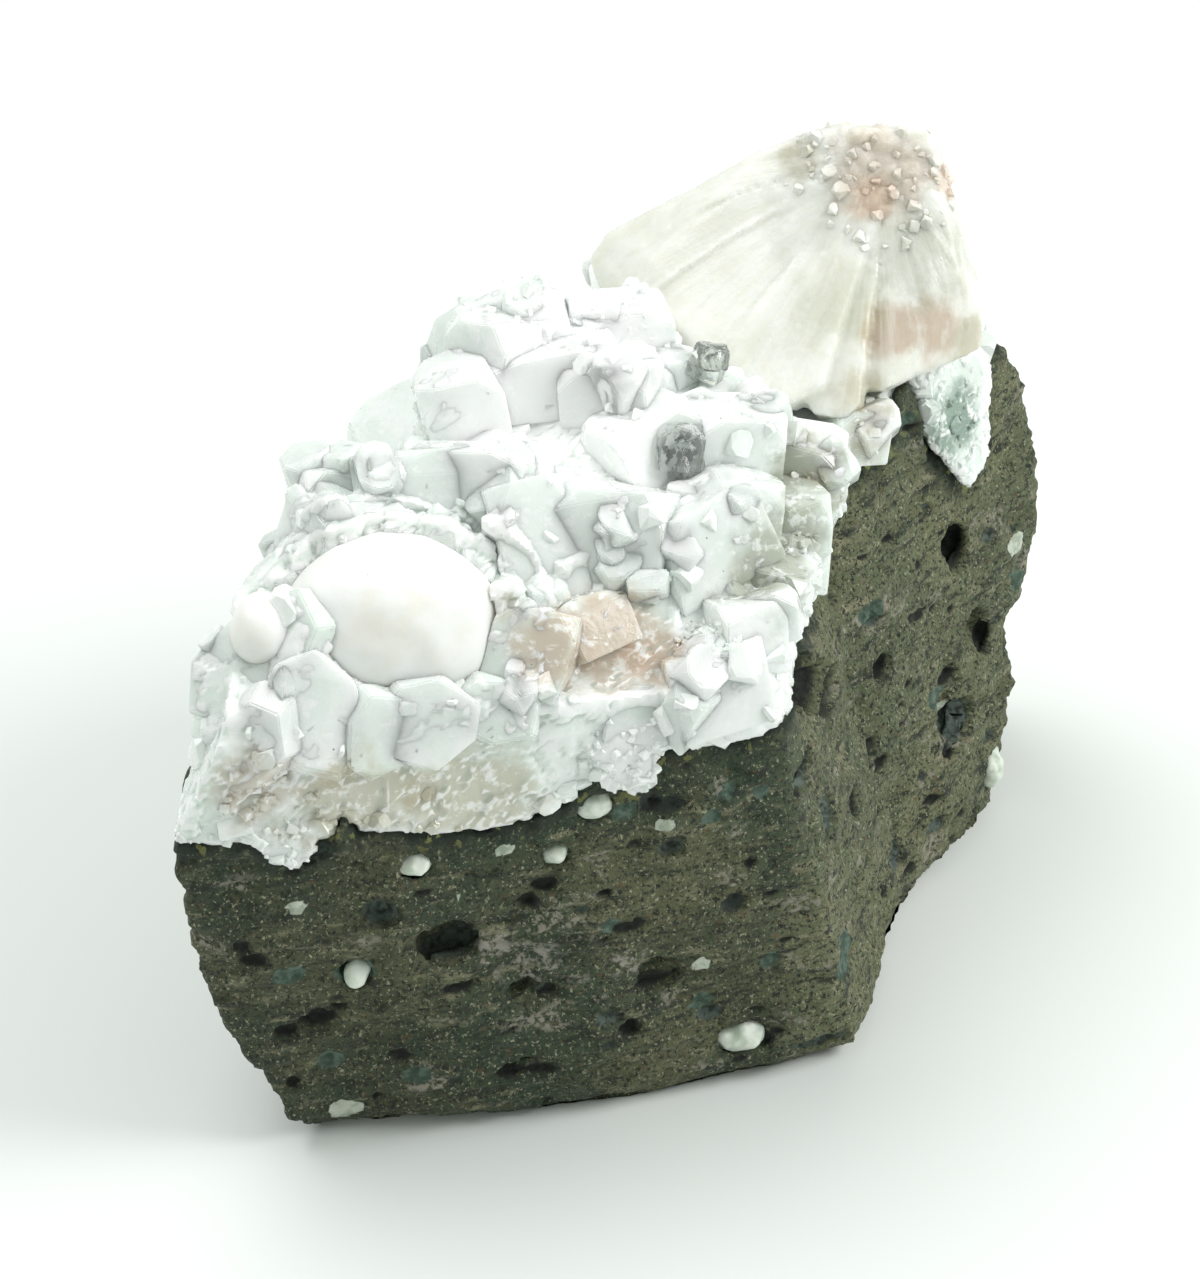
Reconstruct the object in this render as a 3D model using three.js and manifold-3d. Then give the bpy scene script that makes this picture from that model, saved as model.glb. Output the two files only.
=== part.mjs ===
// A hand-sized mineral specimen in millimetres, +Z up: a crust of blocky apophyllite and stilbite
// with one big stilbite fan, grown on a broken block of basalt full of old gas bubbles.
// It rests on a flat underside. -Y is the front, where the crust's broken edge shows over the rock.
import * as THREE from "three";
import { ConvexGeometry } from "three/addons/geometries/ConvexGeometry.js";
import { ImprovedNoise } from "three/addons/math/ImprovedNoise.js";
import { TessellateModifier } from "three/addons/modifiers/TessellateModifier.js";
import { mergeVertices } from "three/addons/utils/BufferGeometryUtils.js";
import Module from "manifold-3d";

const wasm = await Module();
wasm.setup();

// Driving dimensions
const CENTRE = new THREE.Vector3(2.9, 31.86, 0); // middle of the footprint in the layout below
const GAP = 0.3; // between two minerals that meet
const ROCK_EDGE = 8; // longest triangle side on the rock
const ROCK_ROUGHNESS = 0.9; // how far broken rock stands in and out
const CRUST_EDGE = 14;
const CRUST_ROUGHNESS = 0.6;
const CONTACT_CELL = 6; // spacing of the wavy boundary between rock and crust
const SMALL_CRYSTALS = 10; // scattered over the crust, besides the placed ones
const SMALL_CRYSTAL_SIZE = [2.2, 4.6];

// Corner points of the convex lumps that make the outside, rock and crust together
const FRONT_BLOCK = [
  // below the flat underside, which is cut at z = 0, and the rim just above it
  [-23.4, 2, -2], [-4, 4, -2], [21, 12, -2], [28, 31, -2], [20, 59, -2], [-2, 57, -2], [-22, 31, -2],
  [-26, -1, 1], [-3.5, 1, 1.2], [23.2, 9.5, 1.5], [28, 30.5, 2], [-26, 28, 5],
  // left flank, which leans out as it rises
  [-32.2, -3.2, 16.5], [-35.4, -5.7, 35], [-33, 14, 33], [-24, 36, 36],
  // front edge of the crust, and the crust behind it
  [-30.6, -5.4, 45.4], [-20, -3, 45], [0, 2.8, 41], [13.8, 5.4, 44],
  [14.3, 17, 43], [18.4, 30, 41], [-30.6, 10, 45], [-20, 33, 47], [2, 58, 48],
];
const RIGHT_BLOCK = [
  [28, 33, -2], [37, 45.5, -2], [31, 63, -2], [5, 60, -2], [10, 35, -2],
  [28.3, 31, 1], [36.8, 43.4, 1.2], [35, 64, 6],
  [35.9, 46.2, 12], [39, 52.2, 25.5], [40.9, 56, 31], [38.9, 56.5, 42], [34.8, 54, 50.5],
  [19.3, 33, 45.5], [17.6, 29, 37], [24.5, 40, 47], [27, 44, 52],
  [36, 65, 36], [26, 68, 40], [8, 67, 42], [12, 58, 50],
];
const CRUST_LUMPS = [
  // front left, under the white domes
  [
    [-31.4, -5.2, 39.4], [-30.2, -4.6, 47], [-20, -2.5, 45.5], [-4, 2, 41], [0, 9, 49], [-18, 11, 50],
    [-29.6, 9, 50], [-18, 26, 54], [-2, 20, 53], [-28, 20, 47], [-10, 30, 40],
  ],
  // middle
  [
    [-2, 3, 41], [13.4, 6, 43], [13.8, 16, 44], [0, 9, 50], [11, 12, 48], [0, 20, 53.5],
    [14, 24, 51], [17.8, 28, 46], [-16, 32, 54], [-4, 44, 58], [12, 38, 54], [-18, 36, 44],
    [2, 52, 46],
  ],
  // back, under the fan
  [
    [12, 30, 50], [19.4, 33, 47], [31, 52, 51], [26, 42, 50], [10, 48, 58], [20, 50, 60],
    [28, 58, 54], [6, 58, 52], [14, 64, 48], [28, 64, 44], [0, 50, 46], [17.5, 28, 44],
  ],
];

// Height of the boundary between rock and crust, at the points where it can be seen
const CONTACT_HEIGHTS = [
  [-34.7, -5.7, 35.8], [-29, -4, 34.6], [-24.8, -3, 34], [-21.5, -2.2, 34.8], [-14.1, -0.4, 32.9],
  [-5, 1.8, 32.6], [0, 2.6, 36.6], [4.2, 3.8, 38], [9.1, 4.5, 39.4], [13.8, 5.8, 38],
  [14.2, 16, 39.1], [17.6, 26, 39.3], [19.4, 34, 44.2], [25, 40, 44.8], [29, 44, 46],
  [33, 48, 47.5], [35.6, 53, 49.5], [36, 62, 42], [-33, 12, 36], [-22, 34, 38], [-5, 52, 40],
  [8, 66, 41], [26, 68, 40], [0, 30, 40], [20, 50, 44],
];

// Chips out of the rock's outline
const CHIPS = [
  // right-hand edge
  [[37.2, 49.5, 19.5], [36.4, 48.5, 15.5], [37, 56, 17], [44, 46, 12], [44, 47, 26], [44, 60, 18]],
];

// Tongues where the crust reaches down over the rock's broken face
const CRUST_TONGUES = [
  // white pocket under the fan, at the right
  [
    [28.2, 42.8, 51], [29.6, 43.2, 43], [33.8, 46, 36.6], [35.4, 48.4, 38], [35.4, 51.4, 49],
    [26, 50, 50], [30, 53, 41],
  ],
  // front left corner
  [
    [-30, -5.6, 36.8], [-27.5, -5.4, 34], [-24.7, -5, 32.2], [-22.4, -4.4, 36.4], [-27, 1, 37],
    [-24.5, 1, 35],
  ],
  // white lump in the middle of the front
  [[0, 0.8, 36.6], [3.3, 1.6, 35], [5, 2, 38.5], [-1, 0.6, 41], [5, 2.2, 42], [2.5, 8, 39]],
];
// Spurs of rock that stand up into the crust
const ROCK_SPURS = [
  [
    [25, 37.6, 42], [29.4, 42.2, 42], [28, 42.4, 49], [26.7, 41.4, 53.2], [25.6, 42.6, 47],
    [28, 47, 42],
  ],
  [[-22.8, -4.4, 32], [-18.6, -3.4, 32], [-21.2, -4, 37.2], [-20.6, 2, 33]],
];

// Apophyllite: blocks with bevelled corners. Size is width, depth, height; turn is in degrees:
// heading about Z, lean about X (the top goes back when it is negative) and roll about Y.
const BLOCKS = [
  // ring of blocks behind the large dome
  { at: [-22.5, 21, 52], size: [5, 5, 5], turn: [20, -20, 8] },
  { at: [-20.5, 14.5, 52.5], size: [7, 5, 5], turn: [32, -35, 10] },
  { at: [-16, 19, 54], size: [8, 6, 6], turn: [18, -28, 6] },
  { at: [-10.5, 20, 54], size: [8, 6, 6], turn: [-8, -25, -6] },
  { at: [-11.8, 29.4, 55.6], size: [6, 6, 7], turn: [12, -8, -14] },
  { at: [-8.6, 34, 57.6], size: [6, 6, 7], turn: [50, -5, 14] },
  // right of the dome
  { at: [-5.5, 14.5, 51.5], size: [6, 6, 9], turn: [14, -38, -4] },
  { at: [1, 15.5, 51.5], size: [9, 7, 8], turn: [-12, -30, 5] },
  { at: [8, 17, 50.5], size: [9, 8, 7], turn: [30, -22, -10] },
  { at: [11.5, 21, 50.5], size: [6, 6, 6], turn: [8, -15, 12] },
  { at: [3.5, 25.5, 54.5], size: [7, 6, 5], turn: [40, -12, -6] },
  { at: [11, 28, 53], size: [7, 6, 6], turn: [18, -10, 10] },
  { at: [1, 30, 56], size: [7, 6, 6], turn: [-16, -14, -8] },
  // pale plates along the ridge, left of the fan
  { at: [-7, 38, 57.5], size: [8, 8, 6], turn: [10, -6, -10] },
  { at: [1.5, 40, 57.4], size: [7, 6, 4.6], turn: [22, -8, 8] },
  { at: [-4, 33, 57], size: [10, 7, 5], turn: [4, -16, -5] },
  { at: [-5.8, 44, 54.8], size: [7, 7, 6], turn: [30, 6, -16] },
  // over the broken edge at the right
  { at: [14, 17, 45.5], size: [6, 7, 6], turn: [-15, -12, 12] },
  { at: [16, 24, 46.5], size: [5, 6, 7], turn: [20, -8, 8] },
  { at: [17.5, 30, 48.5], size: [6, 5, 7], turn: [-10, -10, 6] },
  // sugary lumps over the broken edge in the middle
  { at: [9.8, 5.6, 43.5], size: [7, 5, 6], turn: [12, -24, -8] },
  { at: [11.5, 9.8, 46], size: [5, 6, 5], turn: [30, -24, 12] },
  { at: [-5.5, 5.5, 47], size: [6, 5, 6], turn: [-12, -40, 8] },
  { at: [3, 4.4, 41.6], size: [5, 4, 4], turn: [15, -30, 12], bevel: 0.42 },
  { at: [-1, 8.6, 47.4], size: [5, 4, 4], turn: [30, -42, -6], bevel: 0.42 },
  { at: [22.4, 38, 48], size: [4, 4, 4], turn: [22, -12, 10], bevel: 0.42 },
  // back
  { at: [-17, 38, 46], size: [8, 7, 8], turn: [30, 24, -10] },
  { at: [-9, 50, 47], size: [9, 8, 9], turn: [22, 28, 6] },
  { at: [4, 60, 48], size: [8, 7, 9], turn: [12, 30, -8] },
  { at: [17, 65, 48], size: [9, 6, 8], turn: [-6, 26, 10] },
  { at: [29, 62, 47], size: [7, 8, 8], turn: [-30, 14, 8] },
];

// Rounded tablets, thin in depth
const TABLETS = [
  // leaning against the corner at the left, like petals
  { at: [-27.6, 2.4, 48.2], size: [9, 3, 14], turn: [-36, -42, 30] },
  { at: [-27.8, -3, 44.2], size: [6, 3, 8.6], turn: [-24, -16, 18] },
  { at: [-23.4, 17, 51], size: [7, 3, 8], turn: [-40, -36, 10] },
  // in front of the large dome
  { at: [-23.2, -1.6, 46], size: [8, 3, 9.5], turn: [12, -30, -12] },
  { at: [-18.2, -1.8, 44.2], size: [6, 2.6, 7], turn: [26, -20, 20] },
  { at: [-14.2, -0.8, 44.4], size: [8, 2.6, 6.5], turn: [8, -26, -6] },
  { at: [-8.6, 0.8, 44.6], size: [7, 3, 5], turn: [4, -34, 8] },
];

// Round white balls of needles, flattened against the crust
const DOMES = {
  stilbite_dome: { at: [-17.1, 7.6, 48.6], radii: [8.8, 7.2, 7], detail: 3 },
  stilbite_dome_small: { at: [-27.5, 3.1, 50.6], radii: [2.5, 2.9, 2.8], detail: 1 },
};

// Clear crystals that let the dark rock show
const CLEAR_CRYSTALS = {
  clear_crystal_large: { at: [6.2, 23.6, 55.2], size: [4.4, 4.2, 4.4], turn: [24, -26, 16] },
  clear_crystal_small: { at: [9.4, 35.4, 56.6], size: [3.2, 3, 3.2], turn: [-18, -22, 10] },
};

// The fan: blades from one apex to the tips of its lower and left edges
const FAN_APEX = [24.5, 51.5, 67.5];
const FAN_BODY = [
  [15, 54.5, 67.4], [20.3, 54, 69.8], [23, 51.6, 70.6], [29, 52.5, 70.2], [30.6, 53, 66.5],
  [9, 56, 62], [4.5, 56, 59.5], [1.8, 54, 55], [8.8, 43, 53.4], [17, 37.4, 50.4],
  [21.5, 38, 50], [26, 43, 52], [32, 50.6, 58.4], [33.4, 49, 53.4],
  [8, 62, 53], [20, 63, 56], [30, 60, 55], [27, 57, 66],
];
const FAN_BLADES = [
  { tip: [-0.4, 52, 54.8], width: 8, lift: -0.5 },
  { tip: [4.6, 46, 54.6], width: 9, lift: 0.1 },
  { tip: [9.4, 41.6, 54], width: 6, lift: 0 },
  { tip: [14.6, 37.6, 52], width: 8.5, lift: 0.7 },
  { tip: [20, 36, 50.8], width: 5, lift: 0.2 },
  { tip: [23.6, 38.8, 51.8], width: 4.4, lift: 0.8 },
  { tip: [27, 43, 57], width: 5, lift: 0.4 },
  { tip: [30.4, 45, 57], width: 5, lift: 0.9 },
  { tip: [33, 47.6, 54.2], width: 4, lift: 0 },
];
const FAN_THICKNESS = 2.6;
// Blocks in the notch below the right-hand blades
const FAN_BLOCKS = [
  { at: [26.4, 43.6, 54.4], size: [4, 4, 4.6], turn: [14, -10, -8] },
  { at: [30.6, 45.6, 54.6], size: [5, 4, 5], turn: [30, -14, 6] },
];

// Old gas bubbles in the rock, still open, by the x and z where they open to the front
const VESICLES = [
  { x: -12.9, z: 22.4, radii: [2.8, 2.6, 2] },
  { x: 4.7, z: 15, radii: [2.2, 1.8, 1.5] },
  { x: -6.4, z: 15.2, radii: [2, 1.4, 0.8] },
  { x: -6.8, z: 7, radii: [2.4, 1.4, 0.8] },
  { x: 35, z: 21, radii: [1.5, 2, 2.2] },
  { x: 32, z: 31.6, radii: [1.2, 1.8, 2.2] },
  { x: 32, z: 14.8, radii: [1.6, 2, 3.2] },
  { x: 17, z: 32, radii: [1.4, 2.2, 1.6] },
];

// Bubbles filled with white mineral, by the x and z where they show
const AMYGDULES = [
  { x: 11.9, z: 4.9, radii: [2.7, 1.6, 1.5] },
  { x: -0.6, z: 33.6, radii: [1.6, 1.4, 1.4] },
  { x: -15.4, z: 30.2, radii: [1.5, 1.2, 0.9] },
  { x: -3.8, z: 29.2, radii: [1.2, 1.2, 0.9] },
  { x: -20.6, z: 19.3, radii: [1.1, 1.2, 1.1] },
  { x: 37, z: 5, radii: [1.4, 1.8, 2] },
];
const VESICLE_SINK = 0.25; // how deep an open bubble's centre lies, as part of its own depth
const AMYGDULE_PROUD = 0.4; // how far a filled bubble stands out of the rock

function vector([x, y, z]) {
  return new THREE.Vector3(x, y, z);
}

// A repeatable random source
function randomFrom(seed) {
  let state = seed;
  return () => {
    state = (state * 1664525 + 1013904223) % 4294967296;
    return state / 4294967296;
  };
}

// Joining and cutting

function solidFrom(geometry) {
  const bare = geometry.clone();
  bare.deleteAttribute("normal");
  bare.deleteAttribute("uv");
  const merged = mergeVertices(bare, 1e-4);
  return new wasm.Manifold(
    new wasm.Mesh({
      numProp: 3,
      vertProperties: new Float32Array(merged.attributes.position.array),
      triVerts: new Uint32Array(merged.index.array),
    }),
  );
}

function geometryFrom(solid) {
  const mesh = solid.getMesh();
  const geometry = new THREE.BufferGeometry();
  geometry.setAttribute("position", new THREE.BufferAttribute(mesh.vertProperties, mesh.numProp));
  geometry.setIndex(new THREE.BufferAttribute(mesh.triVerts, 1));
  return geometry;
}

function joined(solids) {
  return solids.reduce((sum, solid) => sum.add(solid));
}

function withoutAll(solid, cutters) {
  return cutters.reduce((rest, cutter) => rest.subtract(cutter), solid);
}

// The biggest body of a solid, without the crumbs that a cut can leave
function biggestBody(solid) {
  return solid.decompose().reduce((best, body) => (body.volume() > best.volume() ? body : best));
}

// The convex solid around some points, with a margin added on every side
function hull(points, margin = 0) {
  if (margin === 0) {
    return solidFrom(new ConvexGeometry(points));
  }
  const sides = [-margin, margin];
  const corners = sides.flatMap((x) => sides.flatMap((y) => sides.map((z) => [x, y, z])));
  const around = points.flatMap((point) => corners.map((corner) => vector(corner).add(point)));
  return solidFrom(new ConvexGeometry(around));
}

// Noise

const perlin = new ImprovedNoise();

function noiseAt(point, size, shift = 0) {
  return perlin.noise(point.x / size + shift, point.y / size - shift, point.z / size + 2 * shift);
}

// The same solid with its sides split to a longest edge, and every corner moved by noise
function roughened(solid, edge, amount) {
  const flat = geometryFrom(solid).toNonIndexed();
  const fine = mergeVertices(new TessellateModifier(edge, 12).modify(flat), 1e-4);
  const position = fine.attributes.position;
  for (let i = 0; i < position.count; i += 1) {
    const at = new THREE.Vector3().fromBufferAttribute(position, i);
    const push = [11, 31, 53].map(
      (shift) => amount * (1.3 * noiseAt(at, 9, shift) + 0.8 * noiseAt(at, 3.7, shift + 5)),
    );
    position.setXYZ(i, at.x + push[0], at.y + push[1], at.z + push[2]);
  }
  return solidFrom(fine);
}

// Crystals

function placed(points, at, [heading, lean, roll]) {
  const radians = THREE.MathUtils.degToRad;
  const turn = new THREE.Euler(radians(lean), radians(roll), radians(heading), "ZXY");
  return points.map((point) => point.applyEuler(turn).add(vector(at)));
}

// A box whose top corners are cut back by the pyramid faces
function block({ at, size, turn, bevel = 0.3 }, margin = 0) {
  const points = [];
  for (const sx of [-0.5, 0.5]) {
    for (const sy of [-0.5, 0.5]) {
      const inset = 1 - 2 * bevel;
      points.push(vector([sx, sy, -0.5]), vector([sx, sy, 0.5 - bevel]));
      points.push(vector([sx * inset, sy, 0.5]), vector([sx, sy * inset, 0.5]));
    }
  }
  const scaled = points.map((point) => point.multiply(vector(size)));
  return hull(placed(scaled, at, turn), margin);
}

// A tablet with a rounded outline, a little thinner at its rim
function tablet({ at, size, turn }, margin = 0) {
  const corners = 9;
  const points = [];
  for (let i = 0; i < corners; i += 1) {
    const angle = (2 * Math.PI * (i + 0.3)) / corners;
    const [x, z] = [Math.cos(angle) * size[0] * 0.5, Math.sin(angle) * size[2] * 0.5];
    points.push(new THREE.Vector3(x, 0, z));
    points.push(new THREE.Vector3(0.84 * x, -0.5 * size[1], 0.84 * z));
    points.push(new THREE.Vector3(0.84 * x, 0.5 * size[1], 0.84 * z));
  }
  return hull(placed(points, at, turn), margin);
}

function lumpy({ at, radii, detail = 1 }, wobble, margin = 0) {
  const ball = mergeVertices(new THREE.IcosahedronGeometry(1, detail).deleteAttribute("uv"));
  const position = ball.attributes.position;
  for (let i = 0; i < position.count; i += 1) {
    const point = new THREE.Vector3().fromBufferAttribute(position, i);
    const swell = 1 + wobble * noiseAt(point.clone().add(vector(at)), 0.9);
    const grown = vector(radii).addScalar(margin);
    point.multiply(grown).multiplyScalar(swell).add(vector(at));
    position.setXYZ(i, point.x, point.y, point.z);
  }
  return solidFrom(ball);
}

// Corners of one blade of the fan, narrow at the apex and cut off at its tip
function bladeCorners({ tip, width, lift }) {
  const apex = vector(FAN_APEX);
  const end = vector(tip);
  const along = end.clone().sub(apex).normalize();
  const outward = new THREE.Vector3(-0.25, -0.75, 0.6);
  const across = new THREE.Vector3().crossVectors(along, outward).normalize();
  const face = new THREE.Vector3().crossVectors(across, along).normalize();
  const shoulder = end.clone().addScaledVector(along, -0.3 * width);
  const points = [];
  for (const side of [-0.5, 0.5]) {
    for (const height of [lift, lift - FAN_THICKNESS]) {
      for (const [origin, share] of [[apex, 0.36], [shoulder, 1], [end, 0.6]]) {
        const point = origin.clone().addScaledVector(across, side * share * width);
        points.push(point.addScaledVector(face, height));
      }
    }
  }
  return points;
}

function stilbiteFan() {
  const blades = FAN_BLADES.map((blade) => hull(bladeCorners(blade)));
  const blocks = FAN_BLOCKS.map((crystal) => block(crystal));
  return joined([hull(FAN_BODY.map(vector)), ...blades, ...blocks]);
}

// The room that the fan takes in the crust
function fanSeat() {
  return hull([...FAN_BODY.map(vector), ...FAN_BLADES.flatMap(bladeCorners)], 2 * GAP);
}

// Rock and crust

// Shepard's weighted mean of the heights above, with small lumps
function contactHeight(x, y) {
  let sum = 0;
  let weights = 0;
  for (const [px, py, height] of CONTACT_HEIGHTS) {
    const weight = 1 / (0.2 + (x - px) ** 2 + (y - py) ** 2) ** 1.6;
    sum += weight * height;
    weights += weight;
  }
  return sum / weights + 0.8 * perlin.noise(x / 4, y / 4, 7);
}

// A block that holds everything below the boundary
function belowContact(lift) {
  const [width, depth, height] = [92, 88, 60];
  const cells = (length) => Math.round(length / CONTACT_CELL);
  const slab = new THREE.BoxGeometry(width, depth, height, cells(width), cells(depth), 1);
  slab.translate(CENTRE.x, CENTRE.y, 0);
  const position = slab.attributes.position;
  for (let i = 0; i < position.count; i += 1) {
    if (position.getZ(i) > 0) {
      position.setZ(i, contactHeight(position.getX(i), position.getY(i)) + lift);
    }
  }
  return solidFrom(slab);
}

// A block that holds everything below the table top, to cut the underside flat
function underground() {
  const slab = new THREE.BoxGeometry(200, 200, 40);
  slab.translate(0, 0, -20);
  return solidFrom(slab);
}

function outside(lumps, edge, roughness) {
  return roughened(joined(lumps.map((points) => hull(points.map(vector)))), edge, roughness);
}

const rock = outside([FRONT_BLOCK, RIGHT_BLOCK], ROCK_EDGE, ROCK_ROUGHNESS);

// A bubble with its centre set behind the place where a ray from the front meets the rock
function inRock({ x, z, radii }, sink) {
  const ray = new THREE.Raycaster(new THREE.Vector3(x, -100, z), new THREE.Vector3(0, 1, 0));
  const [hit] = ray.intersectObject(new THREE.Mesh(geometryFrom(rock)));
  return { at: [x, hit.point.y + sink, z], radii };
}

const amygdules = AMYGDULES.map((bubble) => inRock(bubble, bubble.radii[1] - AMYGDULE_PROUD));

function basaltMatrix() {
  const hollows = [
    ...VESICLES.map((bubble) => lumpy(inRock(bubble, VESICLE_SINK * bubble.radii[1]), 0.5)),
    ...amygdules.map((amygdule) => lumpy(amygdule, 0.2, GAP)),
  ];
  const tongues = [
    ...CRUST_TONGUES.map((tongue) => hull(tongue.map(vector), GAP)),
    ...CHIPS.map((chip) => hull(chip.map(vector))),
  ];
  const below = rock.intersect(belowContact(0)).subtract(underground());
  const spurred = joined([withoutAll(below, tongues), ...ROCK_SPURS.map((spur) => hull(spur.map(vector)))]);
  return biggestBody(withoutAll(spurred, [...hollows, fanSeat()]));
}

// Small blocks on the crust where a vertical ray meets it, larger toward the middle
function scatteredBlocks(body) {
  const random = randomFrom(7);
  const target = new THREE.Mesh(geometryFrom(body));
  const down = new THREE.Vector3(0, 0, -1);
  const crystals = [];
  while (crystals.length < SMALL_CRYSTALS) {
    const [x, y] = [-36 + 76 * random(), -8 + 76 * random()];
    const [hit] = new THREE.Raycaster(new THREE.Vector3(x, y, 100), down).intersectObject(target);
    const size = THREE.MathUtils.lerp(...SMALL_CRYSTAL_SIZE, random());
    const turn = [90 * random(), -40 * random(), 40 * random() - 20];
    const shape = { size: [size, 0.9 * size, 1.1 * size], turn, bevel: 0 };
    if (hit && hit.point.z > contactHeight(x, y) + size) {
      crystals.push(block({ at: hit.point.toArray(), ...shape }));
    }
  }
  return crystals;
}

function crystalCrust() {
  const body = outside([FRONT_BLOCK, RIGHT_BLOCK, ...CRUST_LUMPS], CRUST_EDGE, CRUST_ROUGHNESS);
  const crystals = [
    ...BLOCKS.map((crystal) => block(crystal)),
    ...TABLETS.map((crystal) => tablet(crystal)),
    ...scatteredBlocks(body),
  ];
  const above = joined([body, ...crystals]).subtract(belowContact(GAP));
  const grown = joined([above, ...CRUST_TONGUES.map((tongue) => hull(tongue.map(vector)))]);
  const others = [
    ...ROCK_SPURS.map((spur) => hull(spur.map(vector), GAP)),
    fanSeat(),
    ...Object.values(DOMES).map((dome) => lumpy({ ...dome, detail: 1 }, 0, 3 * GAP)),
    ...Object.values(CLEAR_CRYSTALS).map((crystal) => block(crystal, GAP)),
  ];
  return biggestBody(withoutAll(grown, others));
}

// The specimen

const FINISHES = {
  basalt: { color: 0x4a4b3c, roughness: 0.9, metalness: 0 },
  apophyllite: { color: 0xeef2ec, roughness: 0.3, metalness: 0 },
  clear_apophyllite: { color: 0xdfe8e2, roughness: 0.05, metalness: 0 },
  stilbite: { color: 0xe3e1d2, roughness: 0.4, metalness: 0 },
  white_stilbite: { color: 0xf4f1ec, roughness: 0.5, metalness: 0 },
  amygdule_white: { color: 0xe6ebe2, roughness: 0.45, metalness: 0 },
};

function piece(name, solid, finish) {
  const mesh = new THREE.Mesh(geometryFrom(solid), new THREE.MeshStandardMaterial(FINISHES[finish]));
  mesh.name = name;
  return mesh;
}

const specimen = new THREE.Group();
specimen.add(
  piece("basalt_matrix", basaltMatrix(), "basalt"),
  piece("crystal_crust", crystalCrust(), "apophyllite"),
  piece("stilbite_fan", stilbiteFan(), "stilbite"),
  ...Object.entries(DOMES).map(([name, dome]) => piece(name, lumpy(dome, 0.02), "white_stilbite")),
  ...Object.entries(CLEAR_CRYSTALS).map(([name, crystal]) =>
    piece(name, block(crystal), "clear_apophyllite"),
  ),
  ...amygdules.map((amygdule, i) => piece(`amygdule_${i + 1}`, lumpy(amygdule, 0.2), "amygdule_white")),
);
specimen.position.set(-CENTRE.x, -CENTRE.y, 0);

export default specimen;
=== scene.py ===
# The look of an apophyllite cluster: pale crystals and a stilbite fan on a block of basalt.
import math
import random

import bmesh
import bpy
import numpy as np
from mathutils import Euler, Matrix, Vector, kdtree, noise


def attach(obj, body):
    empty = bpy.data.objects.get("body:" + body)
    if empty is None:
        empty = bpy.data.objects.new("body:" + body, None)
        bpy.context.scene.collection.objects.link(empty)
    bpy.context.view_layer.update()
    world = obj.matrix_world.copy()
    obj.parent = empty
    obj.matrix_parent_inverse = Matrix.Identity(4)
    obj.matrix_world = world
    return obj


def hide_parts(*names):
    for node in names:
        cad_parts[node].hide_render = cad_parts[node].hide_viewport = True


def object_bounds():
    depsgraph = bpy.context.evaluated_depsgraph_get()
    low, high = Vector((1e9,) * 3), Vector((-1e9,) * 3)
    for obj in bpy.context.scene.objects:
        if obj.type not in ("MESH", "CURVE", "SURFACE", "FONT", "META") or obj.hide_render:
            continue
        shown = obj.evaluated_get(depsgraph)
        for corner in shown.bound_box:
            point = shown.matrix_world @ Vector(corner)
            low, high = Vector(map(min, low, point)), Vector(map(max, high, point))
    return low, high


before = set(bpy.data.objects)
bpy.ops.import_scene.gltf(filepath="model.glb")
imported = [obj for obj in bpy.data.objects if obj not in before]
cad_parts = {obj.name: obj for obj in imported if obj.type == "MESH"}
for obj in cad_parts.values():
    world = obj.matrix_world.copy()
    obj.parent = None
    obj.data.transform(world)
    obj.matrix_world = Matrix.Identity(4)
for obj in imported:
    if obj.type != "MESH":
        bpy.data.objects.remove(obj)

# Places below are in millimetres, in the same layout as the solids. Its origin is at the front
# foot of the rock, and LAYOUT is where that lies in the frame.
MM = 0.001
LAYOUT = Vector((-2.9, -31.86, 0.0))

CAMERA_ELEVATION = math.radians(35)
CAMERA_DISTANCE = 400
CAMERA_TARGET = (0, 34.4, 28)
CAMERA_LENS = 125.0

ROCK_VOXEL = 0.46
CRUST_VOXEL = 0.41
FAN_VOXEL = 0.36
CLOSE_GAP = 0.16  # rock and crust are both moved out by this, over the gap between the solids

FAN_APEX = (24.5, 51.5, 67.5)
DOME_CENTRE = (-17.1, 7.6, 48.6)
DOME_RADII = (8.8, 7.2, 7.0)

cad_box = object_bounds()


def place(x, y, z):
    """A point of the layout in the frame, still in millimetres."""
    return Vector((x, y, z)) + LAYOUT


# Meshes


def read(mesh):
    """Vertex places in mm and vertex normals, as arrays."""
    co = np.empty(len(mesh.vertices) * 3, np.float32)
    no = np.empty(len(mesh.vertices) * 3, np.float32)
    mesh.vertices.foreach_get("co", co)
    mesh.vertices.foreach_get("normal", no)
    return co.reshape(-1, 3).astype(float) / MM, no.reshape(-1, 3).astype(float)


def held(co):
    """Places in mm, cut flat where they would pass the box of the solids."""
    low, high = (np.array(corner) / MM for corner in cad_box)
    return np.clip(co, low, high)


def write(mesh, co):
    """Sets vertex places given in mm, held within the box of the solids."""
    mesh.vertices.foreach_set("co", (held(co) * MM).astype(np.float32).ravel())
    mesh.update()


def paint(mesh, name, values):
    """A number for each vertex, for the material to read."""
    layer = mesh.attributes.new(name, "FLOAT", "POINT")
    layer.data.foreach_set("value", np.asarray(values, np.float32))


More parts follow.
